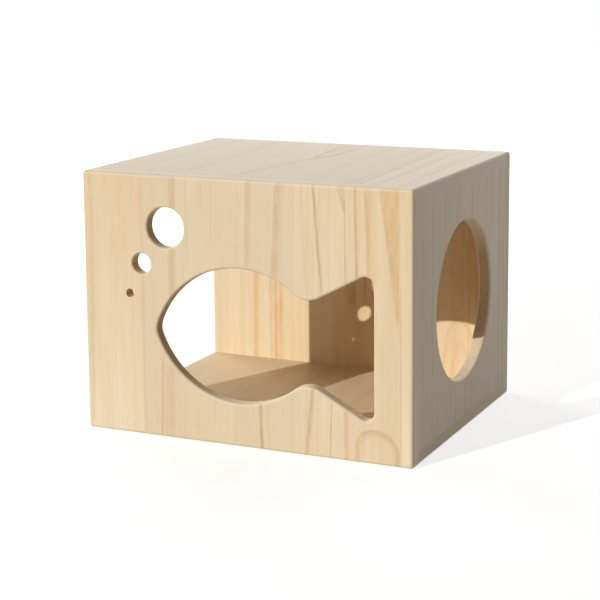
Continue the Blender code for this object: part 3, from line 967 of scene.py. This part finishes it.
eased = boxSizes["board"] + boxSizes["mouthRound"]
upright = {"low": eased, "high": boxSizes["high"][2] - eased}
makeBoard("front", boxSizes, frontOpenings(boxSizes),
          (("back", "front_top"), ("back", "front_floor"), ("back", "front_side")),
          {"inner": "back", **upright})
makeBoard("back", boxSizes, (),
          (("front", "back_top"), ("front", "back_floor"), ("front", "back_side")),
          {"inner": "front", **upright})
makeBoard("side", boxSizes, sideOpenings(boxSizes),
          (("front", "front_side"), ("back", "back_side"), ("up", "top_side"), ("down", "floor_side")))
makeBoard("top", boxSizes, (),
          (("front", "front_top"), ("back", "back_top"), ("down", "top_side")),
          {"inner": "down"})
makeBoard("floor", boxSizes, (),
          (("front", "front_floor"), ("back", "back_floor"), ("up", "floor_side")),
          {"inner": "up"})


# Dowels: their solids are kept, in plain beech

dowelLook = {
    "light": rgb(196, 158, 118),
    "dark": rgb(164, 122, 84),
    "fleck": rgb(140, 98, 64),
    "fleckCover": 0.7,
    "roughness": 0.62,
    "relief": (0.2, 0.0002),    # strength and depth in metres
}


def makeBeech(look):
    material = bpy.data.materials.new("dowelBeech")
    material.use_nodes = True
    tree = material.node_tree
    shader = tree.nodes["Principled BSDF"]
    texture = addNode(tree, "ShaderNodeTexCoord")
    across, along, depth = split(tree, texture.outputs["Object"])
    fibres = useGroup(tree, woodFibres, across=across, along=along, depth=depth, seed=3.7)
    paint = blend(tree, ease(tree, fibres["Broad"], 0.35, 0.65), look["light"], look["dark"])
    flecks = calc(tree, "MULTIPLY", fibres["Ducts"], look["fleckCover"])
    paint = blend(tree, flecks, paint, look["fleck"])
    shade = ease(tree, fibres["Fine"], 0.2, 0.8, 0.9, 1.05)
    paint = blend(tree, 1.0, paint, combine(tree, shade, shade, shade), "MULTIPLY")
    feed(tree, shader.inputs["Base Color"], paint)
    rough = calc(tree, "MULTIPLY_ADD", fibres["Fine"], 0.16, look["roughness"] - 0.08)
    feed(tree, shader.inputs["Roughness"], rough)
    feed(tree, shader.inputs["Normal"], bumpFrom(tree, fibres["Fine"], look["relief"]))
    return material


beech = makeBeech(dowelLook)
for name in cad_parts:
    if name.startswith("dowel_"):
        bpy.data.objects[name].material_slots[0].material = beech
print("dowels finished")


# Floor, backdrop and light

stageLook = {
    "floorSize": 12.0,
    "floorColour": (0.55, 0.55, 0.55, 1.0),
    "floorRoughness": 0.9,
    "floorLift": (0.70, 0.86),             # added where it is seen, by the box and far away
    "liftRange": (0.6, 2.4),               # metres from the box
    "sunTravels": (0.146, 0.320, -0.1165),
    "sunStrength": 2.66,
    "sunAngle": 0.55,
    "sunColour": (1.0, 0.97, 0.92),
    "skyStrength": 0.14,
    "skyColour": (0.98, 0.98, 0.98),
    "lampAim": (0.0, 0.0, 0.15),
}

# soft lamps: place, size, power, colour
softLamps = {
    "overhead": ((0.35, 1.4, 2.2), 1.8, 7.6, (0.88, 0.96, 1.06)),
    "backSky": ((0.56, 0.90, 0.95), 0.6, 2.1, (0.98, 0.98, 0.99)),
    "mouthFill": ((-1.9, 1.05, 0.68), 1.0, 30.0, (1.0, 0.94, 0.82)),
}


def seenDirectly(tree):
    # camera, glossy and transmission rays see the white background
    rays = addNode(tree, "ShaderNodeLightPath")
    seen = calc(tree, "MAXIMUM", rays.outputs["Is Camera Ray"], rays.outputs["Is Glossy Ray"])
    return calc(tree, "MAXIMUM", seen, rays.outputs["Is Transmission Ray"])


def makeFloor(look):
    bm = bmesh.new()
    bmesh.ops.create_grid(bm, x_segments=1, y_segments=1, size=look["floorSize"] / 2)
    mesh = bpy.data.meshes.new("floor")
    bm.to_mesh(mesh)
    bm.free()
    material = bpy.data.materials.new("paleFloor")
    material.use_nodes = True
    tree = material.node_tree
    shader = tree.nodes["Principled BSDF"]
    shader.inputs["Base Color"].default_value = look["floorColour"]
    shader.inputs["Roughness"].default_value = look["floorRoughness"]
    shader.inputs["Specular IOR Level"].default_value = 0.0
    shader.inputs["Emission Color"].default_value = (1.0, 1.0, 1.0, 1.0)
    texture = addNode(tree, "ShaderNodeTexCoord")
    away = calcVector(tree, "LENGTH", texture.outputs["Object"])
    lift = ease(tree, away, *look["liftRange"], *look["floorLift"])
    feed(tree, shader.inputs["Emission Strength"], calc(tree, "MULTIPLY", seenDirectly(tree), lift))
    mesh.materials.append(material)
    thing = bpy.data.objects.new("floor", mesh)
    bpy.context.scene.collection.objects.link(thing)


def hangLamp(name, lamp, place, direction):
    thing = bpy.data.objects.new(name, lamp)
    thing.location = place
    thing.rotation_mode = "QUATERNION"
    thing.rotation_quaternion = direction.to_track_quat("-Z", "Y")
    bpy.context.scene.collection.objects.link(thing)


def makeLights(look):
    world = bpy.data.worlds.new("studio")
    world.use_nodes = True
    tree = world.node_tree
    tree.nodes.clear()
    output = addNode(tree, "ShaderNodeOutputWorld")
    sky = addNode(tree, "ShaderNodeBackground")
    sky.inputs["Color"].default_value = (*look["skyColour"], 1.0)
    sky.inputs["Strength"].default_value = look["skyStrength"]
    white = addNode(tree, "ShaderNodeBackground")
    white.inputs["Color"].default_value = (1.0, 1.0, 1.0, 1.0)
    white.inputs["Strength"].default_value = 1.0
    mix = addNode(tree, "ShaderNodeMixShader")
    feed(tree, mix.inputs[0], seenDirectly(tree))
    tree.links.new(sky.outputs[0], mix.inputs[1])
    tree.links.new(white.outputs[0], mix.inputs[2])
    tree.links.new(mix.outputs[0], output.inputs["Surface"])
    bpy.context.scene.world = world

    sun = bpy.data.lights.new("key", "SUN")
    sun.energy = look["sunStrength"]
    sun.angle = math.radians(look["sunAngle"])
    sun.color = look["sunColour"]
    hangLamp("key", sun, (0.0, 0.0, 0.0), Vector(look["sunTravels"]))

    for name, (place, size, power, tint) in softLamps.items():
        soft = bpy.data.lights.new(name, "AREA")
        soft.size = size
        soft.energy = power
        soft.color = tint
        hangLamp(name, soft, place, Vector(look["lampAim"]) - Vector(place))


makeFloor(stageLook)
makeLights(stageLook)
bpy.context.scene.view_settings.view_transform = "Standard"
print("stage and lights set")
